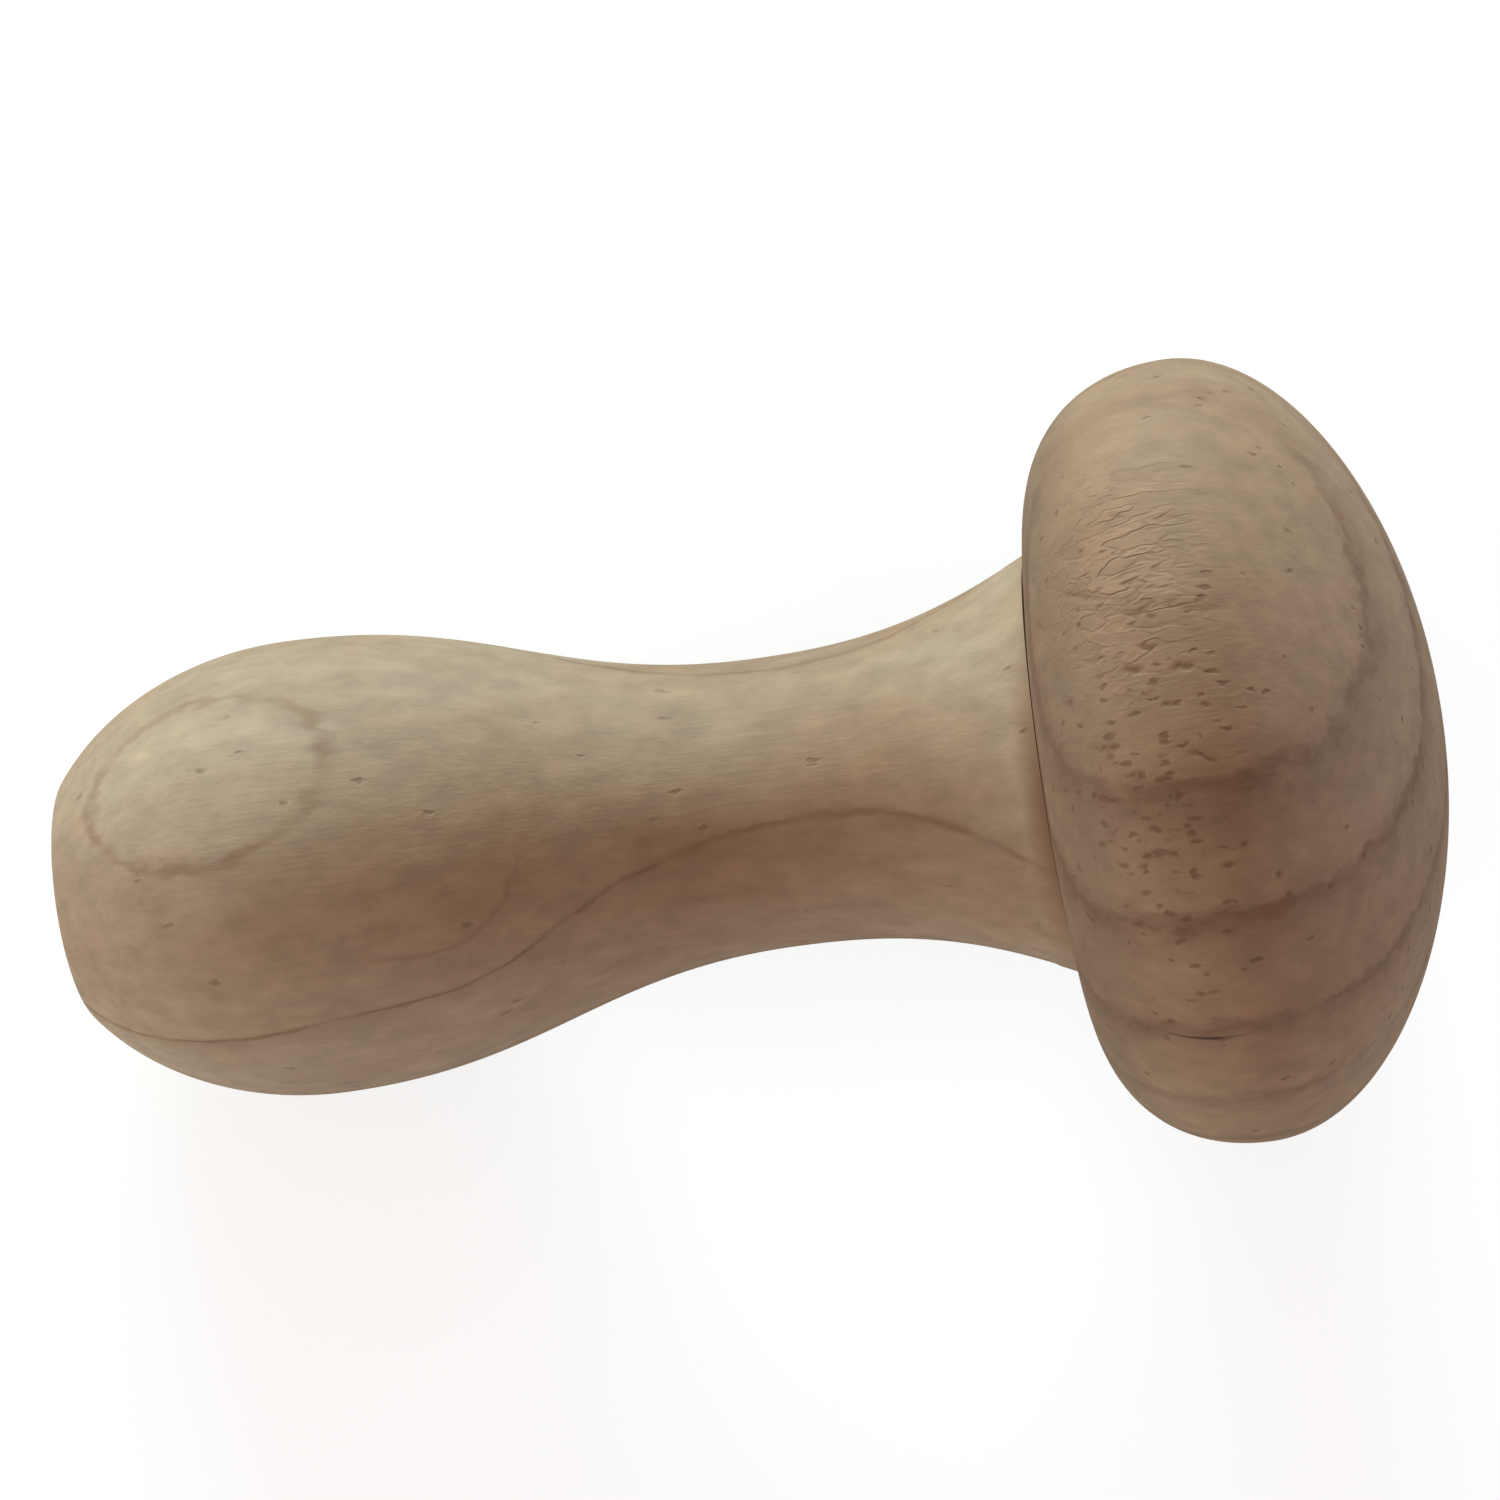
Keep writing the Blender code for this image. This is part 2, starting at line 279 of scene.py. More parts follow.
def head_rows(sizes, shoulder_radius):
    """From the dome's top, over the rim, along the underside and up into the socket."""
    radius = sizes.diameter / 2
    seat = -SEAM_LAP
    seat_radius = shoulder_radius + sizes.offset
    lip_edge = (seat_radius - LIP, 0.0)
    apex = np.array((0.0, sizes.height))
    rim = np.array((radius, sizes.rim_height))
    seat_edge = np.array((seat_radius, 0.0))
    over_apex = apex + (DOME_PULLS[0] * radius, 0)
    over_rim = rim + (0, DOME_PULLS[1] * (sizes.height - sizes.rim_height))
    under_rim = rim - (0, UNDERSIDE_PULLS[0] * sizes.rim_height)
    by_seat = seat_edge + (UNDERSIDE_PULLS[1] * (radius - seat_radius), 0)
    dome = bezier(apex, over_apex, over_rim, rim)
    underside = bezier(rim, under_rim, by_seat, seat_edge)
    lip = bezier(seat_edge, lip_edge, (lip_edge[0], seat), (seat_radius - 2 * LIP, seat))
    mouth = (TENON_RADIUS + JOINT_GAP, seat)
    widening = (mouth[0], TENON_LENGTH - KERF_DEPTH - JOINT_GAP)
    floor_edge = (mouth[0] + TENON_SPREAD, TENON_LENGTH + SOCKET_END_ROOM - JOINT_GAP)
    curves_and_gaps = [
        (dome, head_gaps(dome)),
        (underside, head_gaps(underside)),
        (lip, 0.0001),
        (line(lip[-1], mouth), 0.004),
        (line(mouth, widening), 0.004),
        (line(widening, floor_edge), 0.005),
        (line(floor_edge, (0.0, floor_edge[1])), 0.005),
    ]
    return joined([spaced(curve, gap) for curve, gap in curves_and_gaps])


def head_gaps(curve):
    """Distances between the points along one of the head's curves."""
    creased = (curve[:, 0] > CREASED_RADIUS) & (curve[:, 1] < CREASED_HEIGHT)
    return np.where(creased, CREASED_GAP, SKIN_GAP)


# ---------------- turned meshes


def turned_mesh(name, rows, columns, crowding=0.0, closed=False):
    """A solid of revolution about Z. Crowding draws its columns together towards the top side."""
    even = np.arange(columns) * (2 * math.pi / columns)
    angles = even - crowding * np.sin(even - UP)
    at_pole = rows[:, 0] < 1e-9
    points, starts = [], []
    count = 0
    for (radius, height), pole in zip(rows, at_pole):
        turn = angles[:1] if pole else angles
        ring = (radius * np.cos(turn), radius * np.sin(turn), np.full(len(turn), height))
        points.append(np.stack(ring, axis=1))
        starts.append(count)
        count += len(turn)
    faces = []
    steps = [(j, (j + 1) % columns) for j in range(columns)]
    pairs = [(i, i + 1) for i in range(len(rows) - 1)]
    if closed:
        pairs.append((len(rows) - 1, 0))
    for upper, lower in pairs:
        a, b = starts[upper], starts[lower]
        for j, k in steps:
            if at_pole[upper]:
                faces.append((a, b + j, b + k))
            elif at_pole[lower]:
                faces.append((a + k, a + j, b))
            else:
                faces.append((a + k, a + j, b + j, b + k))
    return new_mesh(name, np.vstack(points).tolist(), faces)


def new_mesh(name, points, faces):
    mesh = bpy.data.meshes.new(name)
    mesh.from_pydata(points, [], faces)
    mesh.update()
    return mesh


def new_object(name, data):
    made = bpy.data.objects.new(name, data)
    bpy.context.scene.collection.objects.link(made)
    return made


def read_points(mesh):
    flat = np.empty(len(mesh.vertices) * 3, np.float32)
    mesh.vertices.foreach_get("co", flat)
    return flat.reshape(-1, 3).astype(float)


def read_normals(mesh):
    flat = np.empty(len(mesh.vertices) * 3, np.float32)
    mesh.vertex_normals.foreach_get("vector", flat)
    return flat.reshape(-1, 3).astype(float)


def write_points(mesh, points):
    mesh.vertices.foreach_set("co", points.astype(np.float32).ravel())
    mesh.update()


def write_values(mesh, **named):
    """Gives each of the mesh's points a value under each name, for the materials to read."""
    for name, values in named.items():
        written = mesh.attributes.new(name, "FLOAT", "POINT")
        spread = np.broadcast_to(values, len(mesh.vertices))
        written.data.foreach_set("value", spread.astype(np.float32))


def soft_noise(points, size, seed):
    """Smooth noise from about -1 to 1 at each point, with features of this size."""
    places = points / size + seed
    return np.array([noise.noise(Vector(place)) for place in places])


def round_the_axis(points):
    """(radius, angle up from straight down) of each point, about Z."""
    return np.hypot(points[:, 0], points[:, 1]), np.arctan2(points[:, 1], points[:, 0])


def across_rings(points):
    """How far each point lies from the axis, straight across the growth rings."""
    return points[:, 0] * math.cos(RING_NORMAL) + points[:, 1] * math.sin(RING_NORMAL)


def lay_down(mesh, height=0.0, side=0.0):
    """Moves a mesh from its lathe frame onto the mallet's axis."""
    onto_axis = Matrix.Translation(BUTT_CENTRE) @ AXIS_TURN.to_matrix().to_4x4()
    mesh.transform(onto_axis @ Matrix.Translation((0, side, height)))


def finish_piece(name, mesh, material, node_name):
    piece = new_object(name, mesh)
    mesh.materials.append(material)
    mesh.shade_smooth()
    mesh.set_sharp_from_angle(angle=SHARP_ANGLE)
    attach(piece, "root")
    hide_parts(node_name)
    return piece


# ---------------- the handle

HANDLE_COLUMNS = 280
# Growth rings on the way across the handle: how far from the axis (mm), and how clear each line is
HANDLE_RINGS = (
    (-34.0, 0.6), (-24.5, 0.8), (-16.5, 0.6), (-8.5, 0.12),
    (-0.3, 1.0), (5.6, 0.5), (12.8, 0.75), (21.0, 0.6),
)
FAINT_RING = (2.6, 8.6)  # the ring line between these (mm) shows only in the swirl
BUTT_RINGS_FROM = 9.0  # and those further across than this, only towards the butt
# Warmth of the wood's colour (0 to 1) on the way across it: place (mm), by the butt, by the head
HANDLE_WARMTH = (
    (-34.0, 0.30, 0.35), (-13.0, 0.03, 0.50), (-3.0, 0.13, 0.95), (0.5, 0.42, 0.75),
    (7.0, 0.60, 0.40), (12.0, 0.36, 0.12), (15.0, 0.03, 0.03),
)
HEAD_END_FROM = 42.0  # where the warmth changes over from the one to the other (mm)
HEAD_END_TO = 58.0
GRAIN_BOW = 12.6  # how far the rings bow away from the axis towards the head (mm)
GRAIN_START = 4.5
GRAIN_SETTLE = 30.0
SHOULDER_DIP = 1.3  # and how far they come back to it at the shoulder
SHOULDER_REACH = 6.0
SWIRL_PLACE = (20.0, math.radians(201), 38.0)  # the swirl by the swell: radius, angle, height (mm)
SWIRL_WIDTH = 7.0
SWIRL_LENGTH = 8.0
SWIRL_RISE = 4.2
GLUE_AND_SHADE_ANGLE = math.radians(192)  # where the seam is darkest: glue soaked in, and painted shade of its gap
GLUE_AND_SHADE_SPREAD = 34.0  # degrees
GLUE_AND_SHADE_LEAST = 0.15
OUT_OF_ROUND = 0.00006  # (m)
HANDLE_PORES = 0.03
NO_CRACK = 9.0  # so far from the crack (mm) that none shows


def progress(value, start, end):
    """How far a value has come from one place to another, from 0 to 1."""
    return np.clip((value - start) / (end - start), 0, 1)


def closeness(value, goal, reach):
    return np.clip(1 - np.abs(value - goal) / reach, 0, 1)


def wrapped(angle):
    return (angle + math.pi) % (2 * math.pi) - math.pi


def ring_numbers(across, rings):
    """Ring number of each place across the wood, whole on a line, and how clear its line is."""
    places, clearness = np.array(rings).T
    numbers = np.interp(across, places, np.arange(len(places)))
    return numbers, np.interp(across, places, clearness)


def swirl_closeness(points):
    reach, angle, middle = SWIRL_PLACE
    x, y, height = points.T / MM
    off = np.hypot(x - reach * math.cos(angle), y - reach * math.sin(angle)) / SWIRL_WIDTH
    return np.exp(-(off**2) - ((height - middle) / SWIRL_LENGTH) ** 2)


def handle_across(points, sizes):
    """How far across the growth rings each point of the handle lies, in millimetres."""
    height = points[:, 2] / MM
    settled = 1 - np.exp(-np.maximum(height + GRAIN_START, 0) / GRAIN_SETTLE)
    across = across_rings(points) / MM - GRAIN_BOW * settled
    from_shoulder = (height - sizes.length / MM) / SHOULDER_REACH
    across += SHOULDER_DIP * np.exp(-(from_shoulder**2))
    across += SWIRL_RISE * swirl_closeness(points)
    return across + 0.45 * soft_noise(points * (1, 1, 0.4), size=0.012, seed=3.7)


def handle_figure(points, sizes):
    """Ring number, clearness of the ring lines and warmth of the wood at each point."""
    across = handle_across(points, sizes)
    numbers, clearness = ring_numbers(across, HANDLE_RINGS)
    head_end = progress(points[:, 2] / MM, HEAD_END_FROM, HEAD_END_TO)
    faint = (across > FAINT_RING[0]) & (across < FAINT_RING[1])
    clearness *= np.where(faint, np.clip(1.3 * swirl_closeness(points), 0, 1), 1.0)
    clearness *= np.where(across > BUTT_RINGS_FROM, 1 - 0.95 * head_end, 1.0)
    places, by_butt, by_head = np.array(HANDLE_WARMTH).T
    butt_warmth = np.interp(across, places, by_butt)
    warmth = butt_warmth + head_end * (np.interp(across, places, by_head) - butt_warmth)
    return numbers, clearness, warmth


def seam_glue_and_shade(angle):
    """Darkening along the seam, most of all on one side: glue soaked into the wood, and painted shade
    of the gap between the pieces.
    """
    from_worst = np.degrees(np.abs(wrapped(angle - GLUE_AND_SHADE_ANGLE)))
    return GLUE_AND_SHADE_LEAST + (1 - GLUE_AND_SHADE_LEAST) * np.exp(-((from_worst / GLUE_AND_SHADE_SPREAD) ** 2))


def make_handle(sizes, finish):
    mesh = turned_mesh("handle_turned", handle_rows(sizes), HANDLE_COLUMNS, crowding=0.25)
    points = read_points(mesh)
    points[:, :2] *= INSIDE_FACETS
    below_shoulder = points[:, 2] < sizes.length - 0.002
    inwards = OUT_OF_ROUND * (soft_noise(points, size=0.022, seed=11.3) - 1) * below_shoulder
    radius, angle = round_the_axis(points)
    points[:, :2] *= (1 + inwards / np.maximum(radius, 0.004))[:, None]
    write_points(mesh, points)
    numbers, clearness, warmth = handle_figure(points, sizes)
    write_values(
        mesh,
        ring=numbers,
        clearness=clearness,
        warmth=warmth,
        pit=0.0,
        open_grain=HANDLE_PORES,
        torn_grain=0.0,
        crack_off=NO_CRACK,
        crack_along=0.0,
        end_grain=0.0,
        # glue stain and painted shade along the seam
        seam=seam_glue_and_shade(angle) * closeness(points[:, 2], sizes.length, 0.0020),
    )
    lay_down(mesh)
    material = turned_wood("handle_wood", finish, seed=0.0)
    piece = finish_piece("handle_turned", mesh, material, "handle")
    cut_kerf(piece, sizes)


def cut_kerf(piece, sizes):
    """The saw cut in the tenon, which the wedge opens."""
    overcut = 0.002
    slope = 2 * TENON_SPREAD / KERF_DEPTH
    half_depth = TENON_RADIUS + overcut
    tenon_end = sizes.length + TENON_LENGTH
    floor = (tenon_end - KERF_DEPTH, KERF_WIDTH / 2)
    mouth = (tenon_end + overcut, (KERF_WIDTH + slope * (KERF_DEPTH + overcut)) / 2)
    corners = []
    for height, half_width in (floor, mouth):
        for x, y in SQUARE:
            corners.append((x * half_width, y * half_depth, height))
    sides = [(0, 3, 2, 1), (4, 5, 6, 7), (0, 1, 5, 4), (1, 2, 6, 5), (2, 3, 7, 6), (3, 0, 4, 7)]
    mesh = new_mesh("kerf", corners, sides)
    lay_down(mesh)
    cutter = new_object("kerf", mesh)
    cut = piece.modifiers.new("Kerf", "BOOLEAN")
    cut.operation = "DIFFERENCE"
    cut.solver = "MANIFOLD"
    cut.object = cutter
    bpy.context.view_layer.objects.active = piece
    bpy.ops.object.modifier_apply(modifier=cut.name)
    bpy.data.objects.remove(cutter)


# ---------------- the head

HEAD_COLUMNS = 470
OUTER_RADIUS = 0.021  # what lies further out or higher than this isn't the socket (m)
OUTER_HEIGHT = TENON_LENGTH + 0.004
HEAD_RINGS = (
    (-46.0, 0.6), (-33.0, 0.8), (-21.5, 0.7), (-9.5, 0.5), (2.1, 0.45),
    (12.6, 0.8), (22.9, 1.0), (30.8, 0.9), (38.5, 0.3),
)
HEAD_WARMTH = (
    (-46.0, 0.40), (-20.0, 0.10), (0.0, 0.25), (8.0, 0.50), (14.0, 0.80), (19.0, 0.55),
    (22.5, 0.80), (26.0, 0.50), (30.0, 0.80), (33.0, 0.60), (37.0, 0.70),
)
HEAD_BOW = 0.025  # how strongly the head's rings curve along its height (1/mm)
HEAD_BOW_HEIGHT = 14.0
HEART_AND_SHADE_FROM = 14.0  # height from which the dome's -Y side is heartwood and painted shade (mm), and its extra warmth
HEART_AND_SHADE_WARMTH = 0.4
RINGS_FADE_FROM = 15.0  # how far towards +Y the ring lines start to fade out, and are faint (mm)
RINGS_FADE_TO = 30.0
BAND_HEIGHT = 10.0  # middle and reach of the band by the rim with open pores and torn grain (mm)
BAND_REACH = 6.2
OPEN_GRAIN = (-3.0, 26.0)  # where on it each is and how far it spreads (degrees from straight up)
TORN_GRAIN = (30.0, 17.0)
STRAY_PORES = 0.04
CRACK_ANGLE = 222.8  # of the hairline crack by the rim (degrees), and where it starts and ends (mm)
CRACK_START = 6.4
CRACK_END = 17.5
RING_GROOVE = 0.00003  # depths (m)
DENTS = 0.00004
DEEPEST_PIT = 0.00009

# Creases and long open pores by the rim: angle from straight up towards +Y, where along the head's
# height it starts and ends (mm), how far it drifts round (degrees), half width (mm) and depth (mm)
CREASES = (
    (45.5, 10.5, 12.0, -1.0, 0.22, 0.07),
    (42.0, 7.5, 10.0, -1.4, 0.25, 0.08),
    (42.2, 10.5, 15.3, -2.2, 0.28, 0.09),
    (39.0, 16.5, 19.2, 0.2, 0.25, 0.07),
    (37.2, 9.0, 11.2, -1.4, 0.22, 0.16),
    (35.0, 11.6, 17.0, -2.6, 0.30, 0.12),
    (37.2, 5.8, 7.8, -2.0, 0.22, 0.10),
    (25.8, 4.3, 9.5, -3.9, 0.26, 0.17),
    (26.3, 1.5, 2.6, -4.2, 0.22, 0.14),
    (20.9, 9.8, 13.0, 0.5, 0.24, 0.20),
    (21.9, 13.6, 15.2, 0.3, 0.22, 0.12),
    (20.2, 14.2, 19.0, -0.7, 0.26, 0.13),
    (18.7, 9.7, 12.3, -0.9, 0.22, 0.12),
    (15.5, 6.0, 7.8, -0.9, 0.22, 0.12),
    (12.8, 9.4, 11.0, -0.2, 0.26, 0.24),
    (12.0, 13.6, 15.2, 0.4, 0.34, 0.22),
    (2.5, 5.7, 8.2, -0.7, 0.32, 0.12),
    (-0.5, 14.2, 16.4, -1.5, 0.24, 0.16),
    (-9.8, 6.0, 7.1, 1.5, 0.18, 0.16),
    (-12.9, 9.5, 12.0, 0.2, 0.20, 0.20),
    (-24.2, 7.5, 9.7, 0.2, 0.22, 0.20),
    (-24.5, 10.6, 11.8, 0.3, 0.28, 0.22),
)


def carve(points, marks):
    """How deep each mark cuts at each point, and how high its lower lip stands, in metres."""
    radius, angle = round_the_axis(points)
    degrees = 180 - np.degrees(angle) % 360
    height = points[:, 2] / MM
    depth = np.zeros(len(points))
    lip = np.zeros(len(points))
    for centre, start, end, drift, width, deepest in marks:
        near = (np.abs(degrees - centre) < 6) & (height > start - 1) & (height < end + 1)
        along = (height[near] - start) / (end - start)
        on_mark = np.clip(along, 0, 1)
        sway = 0.35 * np.sin(2 * math.pi * along + centre) * min(1.0, (end - start) / 3)
        middle = centre + drift * (on_mark - 0.5) + sway
        off = np.radians(degrees[near] - middle) * radius[near] / MM
        past = np.maximum(0, np.abs(along - 0.5) - 0.5) * (end - start)
        taper = 0.35 + 0.65 * np.sin(math.pi * on_mark) ** 0.6
        groove = taper * np.exp(-((off / width) ** 2) - (past / width) ** 2)
        ridge = taper * np.exp(-(((off + 2.1 * width) / (1.1 * width)) ** 2) - (past / width) ** 2)
        depth[near] = np.maximum(depth[near], groove * deepest * MM * 0.6)
        lip[near] = np.maximum(lip[near], ridge * deepest * MM * 0.12)
    return depth, lip


def head_across(points):
    """How far across the growth rings each point of the head lies, in millimetres."""
    across = across_rings(points) / MM
    across += HEAD_BOW * (points[:, 2] / MM - HEAD_BOW_HEIGHT) ** 2
    across += 0.5 * soft_noise(points * (1, 1, 0.6), size=0.010, seed=8.1)
    return across + 0.2 * soft_noise(points, size=0.0032, seed=5.5)


def grain_band(angle, points, centre, spread):
    """Closeness to a band by the rim, centred so many degrees from straight up towards +Y, and to
    a weaker one opposite."""
    aside = np.degrees(np.abs(wrapped(angle - UP + math.radians(centre))))
    aside = np.minimum(aside, 0.9 * (180 - aside) + 12)
    above = (points[:, 2] / MM - BAND_HEIGHT) / BAND_REACH
    return np.exp(-((aside / spread) ** 2) - above**2)


def crack_place(points):
    """Distance round the head from the hairline crack (mm), and how far along it (0 to 1)."""
    radius, angle = round_the_axis(points)
    along = (points[:, 2] / MM - CRACK_START) / (CRACK_END - CRACK_START)
    sway = 0.9 * np.sin(math.pi * np.clip(along, 0, 1))
    off = wrapped(angle - np.radians(CRACK_ANGLE + sway)) * radius / MM
    return off, along


def rings_left(points):
    """How clear the ring lines are left, since they fade out towards +Y."""
    return 1 - 0.85 * progress(points[:, 1] / MM, RINGS_FADE_FROM, RINGS_FADE_TO)


def heart_and_shade_warmth(points):
    """How much warmer and darker the wood is on the dome's -Y side: heartwood, and painted shade on
    the side away from the key light.
    """
    up_the_dome = progress(points[:, 2] / MM, HEART_AND_SHADE_FROM, HEART_AND_SHADE_FROM + 10)
    return HEART_AND_SHADE_WARMTH * up_the_dome * progress(-points[:, 1] / MM, 3, 17)


def dig_in(points, numbers):
    """How deep the head's surface lies below its turned outline, and its creases' share of that."""
    depth, lip = carve(points, CREASES)
    dents = DENTS * (1 - soft_noise(points, size=0.018, seed=2.2))
    on_line = closeness(numbers, np.round(numbers), 0.09)
    groove = RING_GROOVE * on_line**2 * (3 - 2 * on_line)
    return np.maximum(depth - lip + dents + groove, 0), depth


def make_head(sizes, finish, handle_sizes):
    shoulder_radius = handle_sizes.shoulder_diameter / 2
    rows = head_rows(sizes, shoulder_radius)
    mesh = turned_mesh("head_turned", rows, HEAD_COLUMNS, crowding=0.6)
    points = read_points(mesh)
    normals = read_normals(mesh)
    radius, angle = round_the_axis(points)
    outer = (radius > OUTER_RADIUS) | (points[:, 2] > OUTER_HEIGHT)
    in_socket = ~outer & (radius < TENON_RADIUS + JOINT_GAP + TENON_SPREAD + 0.0001)
    by_seat = points[:, 2] < 0.003
    # Glue stain and painted shade on the seat, along the seam
    glue_and_shade = seam_glue_and_shade(angle) * closeness(radius, shoulder_radius, 0.0022) * by_seat
    points[:, :2] *= INSIDE_FACETS
    across = head_across(points)
    numbers, clearness = ring_numbers(across, HEAD_RINGS)
    sunk, pit = dig_in(points, numbers)
    points -= normals * (sunk * outer)[:, None]
    clearness *= rings_left(points)
    crack_off, crack_along = crack_place(points)
    points[in_socket, 1] += sizes.offset
    write_points(mesh, points)
    write_values(
        mesh,
        ring=numbers,
        clearness=clearness,
        # warmer on the dome's -Y side: heartwood, and painted shade away from the key light
        warmth=np.interp(across, *np.array(HEAD_WARMTH).T) + heart_and_shade_warmth(points),
        pit=np.clip(pit / DEEPEST_PIT, 0, 1),
        open_grain=STRAY_PORES + (1 - STRAY_PORES) * grain_band(angle, points, *OPEN_GRAIN),
        torn_grain=grain_band(angle, points, *TORN_GRAIN),
        crack_off=crack_off,
        crack_along=crack_along,
        # darker where the head faces the handle: end grain, and painted shade under its overhang
        end_grain=np.clip(-normals[:, 2], 0, 1),
        seam=glue_and_shade,
    )
    lay_down(mesh, height=handle_sizes.length + JOINT_GAP, side=-sizes.offset)
    material = turned_wood("head_wood", finish, seed=40.0)
    finish_piece("head_turned", mesh, material, "head")


# ---------------- glue and wedge

GLUE_COLUMNS = 240
GLUE_STANDS_OUT = 0.00006
GLUE_UNEVEN = 0.00004


def make_joint(handle_sizes):
    """Set glue that fills the seam and the socket, and the wood of the hidden wedge."""
    low = handle_sizes.length + SEAM_LAP + GLUE_PLAY
    high = handle_sizes.length + JOINT_GAP - SEAM_LAP - GLUE_PLAY
    inner = TENON_RADIUS + GLUE_PLAY * 2
    outer = TENON_RADIUS + JOINT_GAP - GLUE_PLAY * 2
    sleeve_top = handle_sizes.length + TENON_LENGTH - KERF_DEPTH
    edge = handle_sizes.shoulder_diameter / 2 + GLUE_STANDS_OUT
    rows = [
        (outer, sleeve_top),
        (outer, high),
        (edge - 0.0001, high),
        (edge, (low + high) / 2),
        (edge - 0.0001, low),
        (inner, low),
        (inner, sleeve_top),
    ]
    mesh = turned_mesh("glue_bead", np.array(rows), GLUE_COLUMNS, closed=True)
    points = read_points(mesh)
    radius, _ = round_the_axis(points)
    by_edge = radius > 0.018
    squeezed = by_edge * GLUE_UNEVEN * soft_noise(points, size=0.003, seed=6.0)
    points[:, :2] *= (1 + squeezed / np.maximum(radius, 0.001))[:, None]
    write_points(mesh, points)
    lay_down(mesh)
    finish_piece("glue_bead", mesh, set_glue(), "glue_line")
    wedge = frame["nodes"]["tenon_wedge"]
    wedge.data.materials.clear()
    wedge.data.materials.append(sawn_wood())


# ---------------- shader parts


def feed(tree, socket, value):
    """Links a socket to another's output, or sets it to a plain value."""
    if isinstance(value, bpy.types.NodeSocket):
        tree.links.new(value, socket)
    else:
        socket.default_value = value


def add(tree, kind, inputs=None, **settings):
    """Adds a shader node of a kind, such as Math or Bump."""
    made = tree.nodes.new("ShaderNode" + kind)
    for name, value in settings.items():
        setattr(made, name, value)
    for name, value in (inputs or {}).items():
        feed(tree, made.inputs[name], value)
    return made


def calc(tree, operation, *values, clamp=False):
    made = add(tree, "Math", operation=operation, use_clamp=clamp)
    for socket, value in zip(made.inputs, values):
        feed(tree, socket, value)
    return made.outputs["Value"]


def ramp(tree, value, low, high, to_low=0.0, to_high=1.0):
    """A smooth step between two values."""
    made = add(
        tree,
        "MapRange",
        {"Value": value, "From Min": low, "From Max": high, "To Min": to_low, "To Max": to_high},
        interpolation_type="SMOOTHSTEP",
    )
    return made.outputs["Result"]


def mix(tree, factor, first, second, how="MIX"):
    made = add(tree, "Mix", data_type="RGBA", blend_type=how)
    feed(tree, made.inputs[0], factor)
    feed(tree, made.inputs[6], first)
    feed(tree, made.inputs[7], second)
    return made.outputs[2]


def stretched(tree, position, across, along):
    """A position scaled so that a pattern has one size across the grain and another along it."""
    made = add(tree, "VectorMath", operation="MULTIPLY")
    feed(tree, made.inputs[0], position)
    made.inputs[1].default_value = (1 / across, 1 / across, 1 / along)
    return made.outputs["Vector"]


def noise_value(tree, position, scale=1.0, detail=2.0, roughness=0.5):
    made = add(
        tree,
        "TexNoise",
        {"Vector": position, "Scale": scale, "Detail": detail, "Roughness": roughness},
    )
    return made.outputs["Fac"]


def new_group(name):
    """Makes the shader node group of an effect, with a named socket for each input and output."""
    fill, inputs, outputs = EFFECTS[name]
    group = bpy.data.node_groups.new(name, "ShaderNodeTree")
    for in_out, titles in (("INPUT", inputs), ("OUTPUT", outputs)):
        for title in titles:
            kind = "NodeSocketVector" if title == "Position" else "NodeSocketFloat"
            group.interface.new_socket(title, in_out=in_out, socket_type=kind)
    given = group.nodes.new("NodeGroupInput").outputs
    out = group.nodes.new("NodeGroupOutput").inputs
    fill(group, given, out)
    return group


def use(tree, name, inputs):
    """Places a shared effect in a material, and gives back its outputs."""
    group = bpy.data.node_groups.get(name) or new_group(name)
    made = add(tree, "Group", node_tree=group)
    for title, value in inputs.items():
        feed(tree, made.inputs[title], value)
    return made.outputs


def hump(tree, off, half_width, top=1.0):
    """1 in the middle of a band and 0 at its edges; off is the distance from the middle."""
    near = calc(tree, "SUBTRACT", 1.0, calc(tree, "DIVIDE", off, half_width), clamp=True)
    return ramp(tree, near, 0.0, top)


def growth_rings(group, given, out):
    """Thin uneven lines where the rings end, and the slow darkening that leads up to each."""
    position = given["Position"]
    fine = noise_value(group, stretched(group, position, 1.6, 4.0), detail=3.0)
    shift = calc(group, "MULTIPLY", calc(group, "SUBTRACT", fine, 0.5), given["Wobble"])
    ring = calc(group, "ADD", given["Ring"], shift)
    off_line = calc(group, "PINGPONG", ring, 0.5)
    uneven = noise_value(group, stretched(group, position, 1.8, 3.0), detail=2.0)
    uneven = calc(group, "MULTIPLY_ADD", uneven, 2.6, -0.1)
    line_mask = hump(group, off_line, calc(group, "MULTIPLY", given["Line Width"], uneven))
    patches = noise_value(group, stretched(group, position, 3.2, 5.0), detail=3.0)
    gap = calc(group, "MULTIPLY", ramp(group, patches, 0.60, 0.36), given["Breaks"])
    strength = calc(group, "MULTIPLY", given["Clearness"], calc(group, "SUBTRACT", 1.0, gap))
    feed(group, out["Line"], calc(group, "MULTIPLY", line_mask, strength))
    before = calc(group, "POWER", calc(group, "FRACT", ring), 4.0)
    beside = ramp(group, off_line, 0.12, 0.0)
    late = calc(group, "MAXIMUM", before, beside)
    feed(group, out["Late Wood"], calc(group, "MULTIPLY", late, given["Clearness"]))


FIBRE_SIZES = {  # across the grain and along it (mm)
    "Streaks": (1.6, 22.0),
    "Fibres": (0.40, 5.0),
    "Patches": (7.0, 12.0),
    "Blotches": (2.4, 4.2),
}


def wood_fibre(group, given, out):
    """Streaks along the grain, fine fibres of the sanded surface, and two sizes of soft patches."""
    for title, (across, along) in FIBRE_SIZES.items():
        place = stretched(group, given["Position"], across, along)
        feed(group, out[title], noise_value(group, place, detail=3.0, roughness=0.6))


